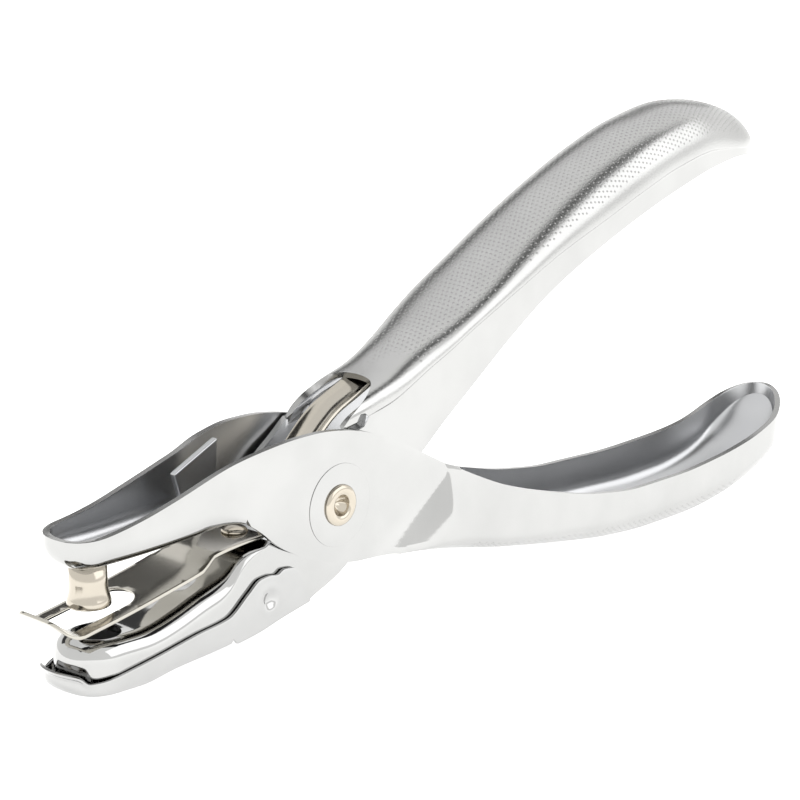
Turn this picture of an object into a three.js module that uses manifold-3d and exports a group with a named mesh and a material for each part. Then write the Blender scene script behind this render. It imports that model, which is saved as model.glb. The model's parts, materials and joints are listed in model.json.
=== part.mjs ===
// One-hole plier punch: two pressed-steel levers on a hollow rivet, a flared punch pin,
// a stripper strip, a return spring and a chip tray that clips under the lower jaw.
//
// Millimetres, +Z up. X runs along the punch with the jaws towards -X, and the pivot axis
// is parallel to Y. The punch stands on its chip tray and on the lower handle at z = 0.
// All outlines below are [x, z] or [x, value] points measured from the pivot axis.

import * as THREE from "three";
import { mergeVertices } from "three/addons/utils/BufferGeometryUtils.js";
import Module from "manifold-3d";

const wasm = await Module();
wasm.setup();

// ---- driving dimensions ----------------------------------------------------------------

const PIVOT_X = -33.68; // places the middle of the whole punch at x = 0
const PIVOT_Z = 18.6; // height of the pivot over the surface the punch stands on
const SHEET = 0.95; // steel sheet of both levers
const JAW_STEP = 1.4; // spacing of the cross sections in the jaws and round the pivot
const HANDLE_STEP = 4; // and along the handles
const HANDLE_START = 24;
const CORNER_STEPS = 3; // facets in each bent corner of a channel
const ROUND = 32; // facets of a full circle

// Outer lever: upper jaw and lower handle, a channel that opens upwards.
const OUTER_NOSE = -45.3;
const OUTER_TIP = 115;
const OUTER_RIM = [
  [-46, 2.5], [-40.4, 3], [-35.2, 3.9], [-28.3, 5.8], [-21.2, 8.2], [-15, 10], [-8.3, 11],
  [-4.4, 11.1], [1.6, 10.5], [9.9, 8], [18.6, 3.9], [26, 0.3], [35.4, -3.4], [45.8, -6.1],
  [56.2, -8.2], [66.7, -9.2], [78.3, -9.2], [90.4, -8.5], [100.1, -7.3], [108, -4.9],
  [112, -2.7], [115, -0.9],
];
const OUTER_WEB = [
  [-46, -1.4], [-44.5, -1.6], [-38, -1.5], [-24.6, -0.7], [-17.5, 0.3], [-15.5, -0.7], [-11.6, -3.8],
  [-7.7, -5.9], [-3.7, -7.4], [0.4, -8.5], [4.5, -9.1], [10.3, -9.2], [14.2, -10.1], [23.1, -11.9],
  [32.3, -13.6], [41.8, -15.1], [51.7, -16.6], [62, -17.9], [72.7, -18.6], [83.7, -18.5],
  [93.3, -17.6], [102, -15.6], [108, -12.8], [112, -9.2], [115, -3.6],
];
const OUTER_HALF = [
  [-46, 5.1], [-38, 5], [-28, 5.2], [-21, 5.25], [-15, 6.6], [-8, 7.2], [9, 7.2], [16, 7.5],
  [23, 8.4], [32, 9.3], [45, 10.1], [56, 10], [67, 9.8], [78, 9.3], [90, 8.6], [100, 7.9], [115, 7.3],
];
const OUTER_CORNER = [[-18, 1.3], [-15, 0.1], [10, 0.1], [16, 1.8], [26, 3.4], [100, 3.4], [115, 1.2]];
const OUTER_WINDOW = [-17, 12.5]; // the web is cut away here, so the inner lever can cross
const GUIDE_TAB = [[-24.2, 7.1], [-16.4, 10.9], [-16, 0.2], [-22.6, -0.1], [-23, 3.8]];
const TAB_THICK = 1;
const TAB_Y = 1;

// Inner lever: lower jaw and upper handle, a channel that opens downwards.
const INNER_NOSE = -43.7;
const INNER_TIP = 101.9;
const INNER_WEB = [
  [-43.9, -12.1], [-42, -11.6], [-34, -11.6], [-31.5, -11.3], [-28, -10.4], [-24, -9], [-19, -7.3],
  [-17, -5.2], [-15.2, -4.3], [-12, -3.9], [-11.2, -3], [-9, 0.5], [-4.8, 5.6], [-1.4, 8], [1.8, 10.4],
  [4.2, 12.4], [6.2, 14.4], [8.5, 15.5], [12.9, 17.6], [17, 19.9], [24.5, 23.9], [34.9, 30.1],
  [43.7, 35.5], [52.9, 40.6], [62.4, 45], [72.2, 48.5], [82.5, 50.6], [87, 50.5], [92, 49.4],
  [96.5, 47.5], [100, 45.1], [101.9, 43.6],
];
const INNER_RIM = [
  [-43.9, -17], [-36, -17.3], [-28, -16.4], [-20, -15.5], [-12, -14.8], [-5.5, -14.2], [-3.5, -13.3],
  [3.3, -9.5], [8, -4.8], [13, 0.1], [18.5, 4.7], [22.4, 8.7], [26.6, 12.4], [30.9, 16], [35.2, 19.2],
  [44.1, 25], [53.3, 29.5], [65.3, 34.4], [75.5, 37.8], [86, 40.6], [94.2, 41.9], [101.9, 41.6],
];
const INNER_HALF = [
  [-43.9, 5.45], [-4, 5.45], [2, 5.95], [14, 5.95], [18.5, 6.2], [24, 7], [32, 7.7], [60, 7.9],
  [80, 7.4], [92, 6.7], [101.9, 6.2],
];
const INNER_CORNER = [[-16, 1.2], [-12, 0.1], [3, 0.1], [8, 2.4], [20, 3.4], [90, 3.4], [101.9, 0.5]];
const INNER_WINDOW = [-11.6, 7.6]; // front end of the web of the upper handle is at the second value

// Punch, die and rivets.
const PIN_X = -39.35; // middle of the pin's cutting end
const PIN_END_Z = -7.6;
const PIN_LEAN = 3; // degrees: the pin is square to the web of the upper jaw
const PIN_FLARE_R = 2.97;
const PIN_SHANK_R = 2.55;
const PIN_NECK_R = 1.7;
const DIE_X = -38.15;
const DIE_R = 3.35;
const RIVET_R = 2;
const RIVET_BORE_R = 1.25;
const RIVET_HEAD_R = 3;
const RIVET_HOLE_R = 2.25;

// Stripper strip and return spring.
const STRIP_THICK = 0.5;
const STRIP_HALF = 5.2;
const STRIP_REAR_HALF = 4.2;
const STRIP_WAIST = [-24, -21]; // the strip narrows to its rear part here
const STRIP_LINE = [
  [-47.6, -7.8], [-46.4, -8.9], [-44.8, -9.6], [-43, -9.4], [-37.7, -8.4], [-30.7, -6.9],
  [-23.4, -5.1], [-20.6, -3.9], [-14.4, -3.1], [-11.5, -2.9],
];
const STRIP_SLOT = [-44.6, -32.6]; // ends of the opening that the pin passes through
const STRIP_SLOT_HALF = 3.15;
const STRIP_RIVET_X = -13.4;
const SPRING_THICK = 0.6;
const SPRING_HALF = 2.5;
const SPRING_BEND_R = 6;
const SPRING_UPPER = [[24, 22.2], [17, 18.5], [12.4, 15.8], [7.6, 13.5], [3.7, 11.7]];
const SPRING_LOWER = [[3, -7.7], [9, -8.1], [15, -8.6], [23, -10.2], [30, -11.5]];

// Chip tray.
const TRAY_SHEET = 0.4;
const TRAY_HALF = 6.05;
const TRAY_NOSE = -45.2;
const TRAY_HINGE = [-12.1, -11.5];
const TRAY_STUD_R = 0.9;
const TRAY_FLOOR = [
  [-45.2, -16.4], [-44.7, -17.5], [-43.8, -18.3], [-42.3, -18.6], [-35, -18.6], [-28.8, -17.7],
  [-21.6, -17], [-14.1, -15.9], [-10.3, -14.9], [-4.2, -13.5],
];
const TRAY_SIDE = [
  [-49, -19], [-49, -14.9], [-42.9, -14.9], [-42.3, -15.8], [-40, -15.6], [-32.4, -14.7],
  [-25.3, -13.4], [-19.8, -12.6], [-16.1, -9.9], [-13.9, -8.1], [-12.2, -7.6], [-7, -8.3],
  [-5.6, -10.4], [-4.2, -12.9], [-4.2, -19],
];
const TRAY_FLOOR_END = -19; // behind this the tray has only its two ears
const TRAY_LIP = 0.5;
const LIP_SPREAD = 1; // radians each side of the nose

// ---- shape helpers ---------------------------------------------------------------------

/** Smooth curve through [x, value] points, as a function of x; flat stretches stay flat. */
function curve(points) {
  const last = points.length - 1;
  const rise = (i) => (points[i + 1][1] - points[i][1]) / (points[i + 1][0] - points[i][0]);
  const slopes = points.map((point, i) => {
    if (i === 0) return rise(0);
    if (i === last) return rise(last - 1);
    const before = rise(i - 1);
    const after = rise(i);
    return before * after <= 0 ? 0 : (2 * before * after) / (before + after);
  });
  return (x) => {
    if (x <= points[0][0]) return points[0][1];
    if (x >= points[last][0]) return points[last][1];
    const i = points.findIndex((point) => point[0] > x) - 1;
    const width = points[i + 1][0] - points[i][0];
    const t = (x - points[i][0]) / width;
    const s = 1 - t;
    const ends = points[i][1] * s * s * (1 + 2 * t) + points[i + 1][1] * t * t * (3 - 2 * t);
    return ends + width * (slopes[i] * t * s * s - slopes[i + 1] * t * t * s);
  };
}

/** Positions along x from one end to the other, closer together over a rounded end. */
function stations(from, to, roundFrom, roundTo) {
  const list = [];
  const angles = [0.12, 0.35, 0.65, 1, 1.3];
  if (roundFrom) angles.forEach((angle) => list.push(from + roundFrom * (1 - Math.cos(angle))));
  else list.push(from);
  const end = to - roundTo;
  let x = from + roundFrom;
  while (x < end - 0.5) {
    if (x > from) list.push(x);
    x += x < HANDLE_START ? JAW_STEP : HANDLE_STEP;
  }
  if (roundTo) list.push(end);
  if (roundTo) {
    [...angles].reverse().forEach((angle) => list.push(to - roundTo * (1 - Math.cos(angle))));
  } else list.push(to);
  return list;
}

/** Half width at x of a body with a rounded nose and tip, inset by the given thickness. */
function roundedHalf(half, x, nose, noseR, tip, tipR, inset) {
  let scale = 1;
  const noseGap = nose + noseR - x;
  const tipGap = x - (tip - tipR);
  if (noseGap > 0) scale = Math.sqrt(Math.max(1 - (noseGap / (noseR - inset)) ** 2, 0.0001));
  if (tipGap > 0) scale = Math.sqrt(Math.max(1 - (tipGap / (tipR - inset)) ** 2, 0.0001));
  return (half - inset) * scale;
}

/** Cross section of a channel: flat at the rim, round corners at the web; [y, z] points. */
function channelSection(half, web, rim, corner) {
  const side = Math.sign(rim - web);
  const r = Math.min(corner, half * 0.9, Math.abs(rim - web) * 0.9);
  const points = [[-half, rim]];
  for (let i = 0; i <= CORNER_STEPS; i++) {
    const a = (i / CORNER_STEPS) * (Math.PI / 2);
    points.push([-half + r * (1 - Math.cos(a)), web + side * r * (1 - Math.sin(a))]);
  }
  for (let i = CORNER_STEPS; i >= 0; i--) {
    const a = (i / CORNER_STEPS) * (Math.PI / 2);
    points.push([half - r * (1 - Math.cos(a)), web + side * r * (1 - Math.sin(a))]);
  }
  points.push([half, rim]);
  return side > 0 ? points : points.reverse();
}

/** Closed body through one convex section per station along x. */
function loft(xs, sectionAt) {
  const rings = xs.map((x) => sectionAt(x));
  const n = rings[0].length;
  const positions = [];
  const faces = [];
  rings.forEach((ring, i) => ring.forEach(([y, z]) => positions.push(xs[i], y, z)));
  for (let i = 0; i + 1 < rings.length; i++) {
    for (let j = 0; j < n; j++) {
      const a = i * n + j;
      const b = i * n + ((j + 1) % n);
      faces.push(a, b, b + n, a, b + n, a + n);
    }
  }
  const end = (rings.length - 1) * n;
  for (let j = 1; j + 1 < n; j++) {
    faces.push(0, j + 1, j);
    faces.push(end, end + j, end + j + 1);
  }
  const geometry = new THREE.BufferGeometry();
  geometry.setAttribute("position", new THREE.Float32BufferAttribute(positions, 3));
  geometry.setIndex(faces);
  return geometry;
}

/** Flat outline of [x, z] points, extruded to the given width across the punch. */
function plate(outline, width, middleY = 0) {
  const shape = new THREE.Shape(outline.map(([x, z]) => new THREE.Vector2(x, z)));
  const geometry = new THREE.ExtrudeGeometry(shape, { depth: width, bevelEnabled: false });
  geometry.rotateX(Math.PI / 2);
  geometry.translate(0, width / 2 + middleY, 0);
  return geometry;
}

/** Outline of a strip of even thickness along a line of [x, z] points. */
function stripOutline(line, thick) {
  const side = (sign) => line.map((point, i) => {
    const before = line[Math.max(i - 1, 0)];
    const after = line[Math.min(i + 1, line.length - 1)];
    const dx = after[0] - before[0];
    const dz = after[1] - before[1];
    const length = Math.hypot(dx, dz);
    return [point[0] - (sign * thick * dz) / (2 * length), point[1] + (sign * thick * dx) / (2 * length)];
  });
  return [...side(1), ...side(-1).reverse()];
}

/** Cylinder along Y, centred on the given point. */
function crossPin(radius, length, [x, z], y = 0) {
  const geometry = new THREE.CylinderGeometry(radius, radius, length, ROUND);
  return geometry.translate(x, y, z);
}

/** Solid for joining and cutting, from a closed geometry. */
function solid(geometry) {
  const bare = geometry.clone();
  bare.deleteAttribute("normal");
  bare.deleteAttribute("uv");
  const merged = mergeVertices(bare, 1e-5);
  const vertProperties = new Float32Array(merged.attributes.position.array);
  const triVerts = new Uint32Array(merged.index.array);
  return new wasm.Manifold(new wasm.Mesh({ numProp: 3, vertProperties, triVerts }));
}

/** Geometry of a solid. */
function surface(body) {
  const mesh = body.getMesh();
  const geometry = new THREE.BufferGeometry();
  geometry.setAttribute("position", new THREE.Float32BufferAttribute(mesh.vertProperties, 3));
  geometry.setIndex(Array.from(mesh.triVerts));
  geometry.computeVertexNormals();
  return geometry;
}

/** Named mesh with its own material. */
function piece(name, geometry, color, roughness, metalness = 1) {
  const material = new THREE.MeshStandardMaterial({ color, roughness, metalness });
  const mesh = new THREE.Mesh(geometry, material);
  mesh.name = name;
  return mesh;
}

/** Pressed channel: an outer body less its hollow, with the web cut away over the window. */
function channel({ nose, noseR, tip, tipR, web, rim, half, corner, window }) {
  const webAt = curve(web);
  const rimAt = curve(rim);
  const halfAt = curve(half);
  const cornerAt = curve(corner);
  const side = Math.sign(rimAt(0) - webAt(0));
  const insetHalf = (x, inset) => roundedHalf(halfAt(x), x, nose, noseR, tip, tipR, inset);
  const body = loft(stations(nose, tip, noseR, tipR), (x) =>
    channelSection(insetHalf(x, 0), webAt(x), rimAt(x), cornerAt(x)));
  const inside = stations(nose + SHEET, tip - SHEET, noseR - SHEET, tipR - SHEET);
  const hollow = loft(inside, (x) =>
    channelSection(
      insetHalf(x, SHEET), webAt(x) + side * SHEET, rimAt(x) + side * 3,
      Math.max(cornerAt(x) - SHEET, 0.1),
    ));
  const opening = loft(stations(window[0], window[1], 0, 0), (x) =>
    channelSection(insetHalf(x, SHEET), webAt(x) - side * 3, rimAt(x) + side * 3, 0.1));
  return solid(body).subtract(solid(hollow)).subtract(solid(opening));
}

// ---- pieces ----------------------------------------------------------------------------

/** Height of the outer face of the upper jaw's web above the pin's axis. */
const pinWebZ = curve(OUTER_WEB)(PIN_X);

/** Flared pin with a neck through the web and a peened head above it. */
function punchPin() {
  const web = pinWebZ - PIN_END_Z;
  const profile = [
    [0, 0], [PIN_FLARE_R - 0.9, 0], [PIN_FLARE_R - 0.5, 0.5], [PIN_FLARE_R, 0.15],
    [PIN_FLARE_R, 0.9], [PIN_SHANK_R + 0.1, 2], [PIN_SHANK_R, 2.8],
    [PIN_SHANK_R, web - 0.1], [PIN_NECK_R, web - 0.1], [PIN_NECK_R, web + SHEET + 0.1],
    [3, web + SHEET + 0.1], [2.7, web + SHEET + 0.7], [1.5, web + SHEET + 1.1],
    [0, web + SHEET + 1.2],
  ];
  const geometry = new THREE.LatheGeometry(profile.map(([r, z]) => new THREE.Vector2(r, z)), ROUND);
  geometry.rotateX(Math.PI / 2);
  return leanPin(geometry);
}

/** Stands a geometry made along Z on the pin's cutting end, leaning as the pin does. */
function leanPin(geometry) {
  geometry.rotateY(THREE.MathUtils.degToRad(-PIN_LEAN));
  return geometry.translate(PIN_X, 0, PIN_END_Z);
}

/** Upper jaw and lower handle. */
function outerLever() {
  const pressed = channel({
    nose: OUTER_NOSE, noseR: 5, tip: OUTER_TIP, tipR: 8.5, web: OUTER_WEB, rim: OUTER_RIM,
    half: OUTER_HALF, corner: OUTER_CORNER, window: OUTER_WINDOW,
  });
  const pinHole = new THREE.CylinderGeometry(PIN_NECK_R + 0.2, PIN_NECK_R + 0.2, 20, ROUND);
  pinHole.rotateX(Math.PI / 2);
  return pressed
    .add(solid(plate(GUIDE_TAB, TAB_THICK, TAB_Y)))
    .subtract(solid(leanPin(pinHole)))
    .subtract(solid(crossPin(RIVET_HOLE_R, 30, [0, 0])));
}

/** Lower jaw and upper handle. */
function innerLever() {
  const pressed = channel({
    nose: INNER_NOSE, noseR: 5.45, tip: INNER_TIP, tipR: 9, web: INNER_WEB, rim: INNER_RIM,
    half: INNER_HALF, corner: INNER_CORNER, window: INNER_WINDOW,
  });
  const dieHole = new THREE.CylinderGeometry(DIE_R, DIE_R, 6, ROUND);
  dieHole.rotateX(Math.PI / 2).translate(DIE_X, 0, -12);
  const rivetHole = new THREE.CylinderGeometry(1.2, 1.2, 8, ROUND);
  rivetHole.rotateX(Math.PI / 2).translate(STRIP_RIVET_X, 0, -4);
  return pressed
    .subtract(solid(dieHole))
    .subtract(solid(rivetHole))
    .subtract(solid(crossPin(TRAY_STUD_R + 0.2, 30, TRAY_HINGE)))
    .subtract(solid(crossPin(RIVET_HOLE_R, 30, [0, 0])));
}

/** Hollow rivet along Y with a rolled head against each outer cheek. */
function pivotRivet() {
  const cheek = curve(OUTER_HALF)(0);
  const inner = cheek + 0.08;
  const outer = cheek + 0.75;
  const profile = [
    [RIVET_BORE_R, -outer + 0.3], [RIVET_BORE_R + 0.5, -outer], [RIVET_HEAD_R - 0.5, -outer],
    [RIVET_HEAD_R, -inner - 0.25], [RIVET_HEAD_R, -inner], [RIVET_R, -inner], [RIVET_R, inner],
    [RIVET_HEAD_R, inner], [RIVET_HEAD_R, inner + 0.25], [RIVET_HEAD_R - 0.5, outer],
    [RIVET_BORE_R + 0.5, outer], [RIVET_BORE_R, outer - 0.3], [RIVET_BORE_R, -outer + 0.3],
  ];
  return new THREE.LatheGeometry(profile.map(([r, y]) => new THREE.Vector2(r, y)), ROUND);
}

/** Leaf spring bent round the front of the rivet, one leg in each handle. */
function returnSpring() {
  const bend = [];
  for (let degrees = 130; degrees <= 245; degrees += 11.5) {
    const a = THREE.MathUtils.degToRad(degrees);
    bend.push([SPRING_BEND_R * Math.cos(a), SPRING_BEND_R * Math.sin(a)]);
  }
  const line = [...SPRING_UPPER, ...bend, ...SPRING_LOWER];
  return plate(stripOutline(line, SPRING_THICK), 2 * SPRING_HALF);
}

/** Strip over the die with a turned-up lip and an opening for the pin. */
function stripperStrip() {
  const [lipX] = STRIP_LINE[0];
  const [rearX] = STRIP_LINE[STRIP_LINE.length - 1];
  const plan = new THREE.Shape();
  const r = 2;
  plan.moveTo(lipX - 1, -STRIP_HALF + r);
  plan.quadraticCurveTo(lipX - 1, -STRIP_HALF, lipX - 1 + r, -STRIP_HALF);
  plan.lineTo(STRIP_WAIST[0], -STRIP_HALF);
  plan.lineTo(STRIP_WAIST[1], -STRIP_REAR_HALF);
  plan.lineTo(rearX + 1, -STRIP_REAR_HALF);
  plan.lineTo(rearX + 1, STRIP_REAR_HALF);
  plan.lineTo(STRIP_WAIST[1], STRIP_REAR_HALF);
  plan.lineTo(STRIP_WAIST[0], STRIP_HALF);
  plan.lineTo(lipX - 1 + r, STRIP_HALF);
  plan.quadraticCurveTo(lipX - 1, STRIP_HALF, lipX - 1, STRIP_HALF - r);
  const slot = new THREE.Path();
  const [front, back] = STRIP_SLOT;
  const straight = back - STRIP_SLOT_HALF;
  slot.moveTo(front, -STRIP_SLOT_HALF + 0.5);
  slot.lineTo(front, STRIP_SLOT_HALF - 0.5);
  slot.lineTo(front + 0.5, STRIP_SLOT_HALF);
  slot.lineTo(straight, STRIP_SLOT_HALF);
  slot.absarc(straight, 0, STRIP_SLOT_HALF, Math.PI / 2, -Math.PI / 2, true);
  slot.lineTo(front + 0.5, -STRIP_SLOT_HALF);
  plan.holes.push(slot);
  const punched = new THREE.ExtrudeGeometry(plan, { depth: 20, bevelEnabled: false, curveSegments: 8 });
  punched.translate(0, 0, -16);
  const rivetHole = new THREE.CylinderGeometry(1.2, 1.2, 8, ROUND);
  rivetHole.rotateX(Math.PI / 2).translate(STRIP_RIVET_X, 0, -4);
  return solid(plate(stripOutline(STRIP_LINE, STRIP_THICK), 2 * STRIP_HALF + 2))
    .intersect(solid(punched))
    .subtract(solid(rivetHole));
}

/** Round-headed rivet that holds the strip on the lower jaw's web. */
function stripRivet() {
  const web = curve(INNER_WEB)(STRIP_RIVET_X);
  const profile = [
    [0, web - SHEET - 0.9], [1.7, web - SHEET - 0.8], [1.7, web - SHEET - 0.35],
    [1, web - SHEET - 0.35], [1, web + 1.5], [1.9, web + 1.5], [1.8, web + 2],
    [1.2, web + 2.3], [0, web + 2.4],
  ];
  const geometry = new THREE.LatheGeometry(profile.map(([r, z]) => new THREE.Vector2(r, z)), ROUND);
  return geometry.rotateX(Math.PI / 2).translate(STRIP_RIVET_X, 0, 0);
}

/** Open tray under the lower jaw, with two ears that snap onto it and a thumb lip. */
function chipTray() {
  const noseR = TRAY_HALF;
  const floorAt = curve(TRAY_FLOOR);
  const [ears] = TRAY_FLOOR[TRAY_FLOOR.length - 1];
  const tip = ears + 20;
  const half = (x, inset) => roundedHalf(TRAY_HALF, x, TRAY_NOSE, noseR, tip, 1, inset);
  const body = loft(stations(TRAY_NOSE, ears, noseR, 0), (x) =>
    channelSection(half(x, 0), floorAt(x), 0, 1));
  const hollow = loft(stations(TRAY_NOSE + TRAY_SHEET, ears + 1, noseR - TRAY_SHEET, 0), (x) =>
    channelSection(half(x, TRAY_SHEET), floorAt(x) + TRAY_SHEET, 5, 0.6));
  const behind = plate(
    [[TRAY_FLOOR_END, -25], [5, -25], [5, 5], [TRAY_FLOOR_END, 5]], 2 * (TRAY_HALF - TRAY_SHEET));
  const lip = new THREE.Shape();
  const middle = TRAY_NOSE + noseR;
  lip.absarc(middle, 0, noseR + 0.5, Math.PI - LIP_SPREAD, Math.PI + LIP_SPREAD, false);
  lip.absarc(middle, 0, noseR - TRAY_SHEET, Math.PI + LIP_SPREAD, Math.PI - LIP_SPREAD, true);
  const lipPlate = new THREE.ExtrudeGeometry(lip, { depth: TRAY_LIP, bevelEnabled: false, curveSegments: 10 });
  lipPlate.translate(0, 0, -14.9);
  let tray = solid(body)
    .subtract(solid(hollow))
    .subtract(solid(behind))
    .intersect(solid(plate(TRAY_SIDE, 20)))
    .add(solid(lipPlate));
  [-1, 1].forEach((sign) => {
    const from = TRAY_HALF - TRAY_SHEET / 2;
    const to = curve(INNER_HALF)(TRAY_HINGE[0]) - SHEET + 0.2;
    tray = tray.add(solid(crossPin(TRAY_STUD_R, from - to, TRAY_HINGE, (sign * (from + to)) / 2)));
  });
  return tray;
}

// ---- assembly --------------------------------------------------------------------------

const CHROME = 0xd8dadd;
const NICKEL = 0xcfc6b4;

const punch = new THREE.Group();
punch.position.set(PIVOT_X, 0, PIVOT_Z);
punch.add(
  piece("outer_lever", surface(outerLever()), CHROME, 0.15),
  piece("inner_lever", surface(innerLever()), CHROME, 0.15),
  piece("punch_pin", punchPin(), NICKEL, 0.25),
  piece("pivot_rivet", pivotRivet(), NICKEL, 0.25),
  piece("return_spring", returnSpring(), NICKEL, 0.3),
  piece("stripper_strip", surface(stripperStrip()), NICKEL, 0.25),
  piece("strip_rivet", stripRivet(), NICKEL, 0.3),
  piece("chip_tray", surface(chipTray()), CHROME, 0.15),
);

export default punch;
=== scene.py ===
# One-hole plier punch: fine pressed-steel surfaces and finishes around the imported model.
# Outlines are [x, z] or [x, value] in millimetres from the pivot axis; meshes are in metres.
import json
import math

import bmesh
import bpy
import numpy as np
from mathutils import Matrix, Vector
from mathutils.geometry import delaunay_2d_cdt


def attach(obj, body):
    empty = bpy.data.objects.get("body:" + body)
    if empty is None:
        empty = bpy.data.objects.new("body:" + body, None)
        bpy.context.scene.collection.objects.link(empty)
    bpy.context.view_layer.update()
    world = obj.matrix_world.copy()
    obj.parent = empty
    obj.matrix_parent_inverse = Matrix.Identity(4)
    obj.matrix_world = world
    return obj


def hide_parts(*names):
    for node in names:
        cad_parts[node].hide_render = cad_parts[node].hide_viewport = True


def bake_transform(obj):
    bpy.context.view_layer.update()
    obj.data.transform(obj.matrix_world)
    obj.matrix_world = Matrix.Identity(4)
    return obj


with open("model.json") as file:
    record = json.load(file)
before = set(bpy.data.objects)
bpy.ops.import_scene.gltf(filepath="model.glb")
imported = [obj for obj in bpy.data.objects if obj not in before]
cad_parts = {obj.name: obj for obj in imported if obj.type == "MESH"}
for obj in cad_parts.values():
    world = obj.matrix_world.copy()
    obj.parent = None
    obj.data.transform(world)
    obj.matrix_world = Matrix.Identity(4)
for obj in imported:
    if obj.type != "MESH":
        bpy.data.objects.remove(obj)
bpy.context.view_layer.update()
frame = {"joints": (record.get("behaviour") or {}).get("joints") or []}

# ---- driving dimensions ---------------------------------------------------------------------

MM = 0.001
JOINTS = {joint["name"]: joint for joint in frame["joints"]}
PIVOT = Vector(JOINTS["lever_pivot"]["pos_m"])
HINGE = (Vector(JOINTS["tray_hinge"]["pos_m"]) - PIVOT) / MM
SHEET = 0.95  # steel sheet of both levers
FINE = 0.05  # sampling of the smooth curves

# Outer lever: upper jaw and lower handle, a channel that opens upwards.
OUTER_NOSE = -45.3
OUTER_NOSE_R = 5  # length of its rounded nose
OUTER_TIP = 115
OUTER_TIP_R = 8.5  # and of its rounded tip
OUTER_RIM = [
    [-46, 2.3], [-40.4, 2.9], [-35.2, 3.9], [-28.3, 5.9], [-21.2, 8.2], [-15, 10], [-8.3, 11],
    [-4.4, 11.1], [1.6, 10.5], [9.9, 8], [18.6, 3.9], [26, 0.3], [35.4, -3.4], [45.8, -6.1],
    [56.2, -8.2], [66.7, -9.2], [78.3, -9.2], [90.4, -8.5], [100.1, -7.3], [108, -4.9],
    [112, -2.7], [115, -0.9],
]
OUTER_WEB = [
    [-46, -1.6], [-44.5, -1.9], [-38, -1.8], [-24.6, -0.9], [-17.5, 0.3], [-15.5, -0.7],
    [-11.6, -3.8], [-7.7, -5.9], [-3.7, -7.4], [0.4, -8.5], [4.5, -9.1], [10.3, -9.2],
    [14.2, -10.1], [23.1, -11.9], [32.3, -13.6], [41.8, -15.1], [51.7, -16.6], [62, -17.9],
    [72.7, -18.6], [83.7, -18.5], [93.3, -17.6], [102, -15.6], [108, -12.8], [112, -9.2],
    [115, -3.6],
]
OUTER_HALF = [
    [-46, 5.1], [-38, 5.2], [-28, 5.5], [-21, 5.6], [-15, 6.6], [-8, 7.2], [24.5, 7.2],
]
OUTER_HANDLE_HALF = [
    [22, 8.8], [32, 9.4], [45, 10.1], [56, 10], [67, 9.8], [78, 9.3], [90, 8.6], [100, 7.9],
    [115, 7.3],
]
OUTER_CORNER = [[-18, 1.3], [-15, 0.1], [10, 0.1], [16, 1.8], [26, 3.4], [115, 3.4]]
OUTER_CREASE = [
    [12.5, -9.5], [23, -9.2], [36, -11.2], [48, -12.3], [64, -13.6], [80, -13.6], [95, -12.6],
    [108, -8.9], [115, -3],
]
OUTER_WINDOW = [-17, 12.5]  # the web is open between these
FLARE_LOW = (9, -7.7)  # the flat flare of the lower handle starts at a fold from here
FLARE_HIGH = (23, 2.2)  # up to the rim
FLARE_END = 24
FLARE_SLOPE = 0.24  # how steeply it widens away from the fold
FLARE_STEP = 1.5  # length of the steeper step at its end
FLARE_SOFT = 0.5  # softness of the fold
GUIDE_TAB = [[-24.2, 7.1], [-16.4, 10.9], [-16, 0.4], [-22.6, 0.1], [-23, 3.8]]
TAB_Y = 1
TAB_THICK = 1

# Inner lever: lower jaw and upper handle, a channel that opens downwards.
INNER_NOSE = -43.7
INNER_NOSE_R = 5.45
INNER_TIP = 102.4
INNER_TIP_R = 9
INNER_WEB = [
    [-43.9, -12.1], [-42, -11.6], [-34, -11.6], [-31.5, -11.3], [-28, -10.4], [-24, -9],
    [-19, -7.3], [-17, -5.2], [-15.2, -4.3], [-12, -3.9], [-11.2, -3], [-9, 0.5], [-4.8, 5.6], [-1.4, 8],
    [1.8, 10.4],
]
INNER_CROWN = [
    [0, 12], [6.2, 14.2], [8.5, 15.3], [12.9, 17.2], [17, 19.5], [24.5, 23.6], [34.9, 30],
    [43.7, 35.6], [52.9, 40.9], [62.4, 45.4], [72.2, 48.9], [82.5, 50.8], [87, 50.6], [92, 49.6],
    [96.5, 47.9], [100, 45.8], [102.4, 43.6],
]
INNER_RIM = [
    [-43.9, -17], [-36, -17.3], [-28, -16.4], [-20, -15.5], [-12, -14.8], [-5.5, -14.2],
    [-3.5, -13.3], [3.3, -9.5], [8, -4.8], [13, 0.1], [18.5, 4.7], [22.4, 8.7], [26.6, 12.4],
    [30.9, 16], [35.2, 19.2], [44.1, 25], [53.3, 29.5], [65.3, 34.4], [75.5, 37.8], [86, 40.6],
    [94.2, 41.7], [102.4, 41.4],
]
INNER_HALF = [
    [-43.9, 5.45], [-4, 5.45], [2, 5.95], [14, 5.95], [18.5, 6.2], [24, 7], [32, 7.6], [60, 7.7],
    [80, 7.3], [92, 6.7], [102.4, 6.2],
]
INNER_CORNER = [[-16, 1.2], [-12, 0.1], [3, 0.1]]
INNER_CREASE = [
    [1.5, 10.1], [5.3, 11.1], [11.4, 12.6], [19.7, 16.9], [28.2, 22], [37, 26.3], [46.1, 30.5],
    [55.6, 34.1], [65.3, 37.8], [75.4, 41.1], [86, 43], [94, 42.9], [102.4, 41.8],
]
# How far the palm face bulges past the cheeks.
INNER_BULGE = [[5.5, 0], [9, 0.3], [40, 0.5], [78, 0.7], [96, 0.1], [102, 0]]
INNER_WINDOW = [-11.6, 1.5]  # the web is open between these
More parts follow.
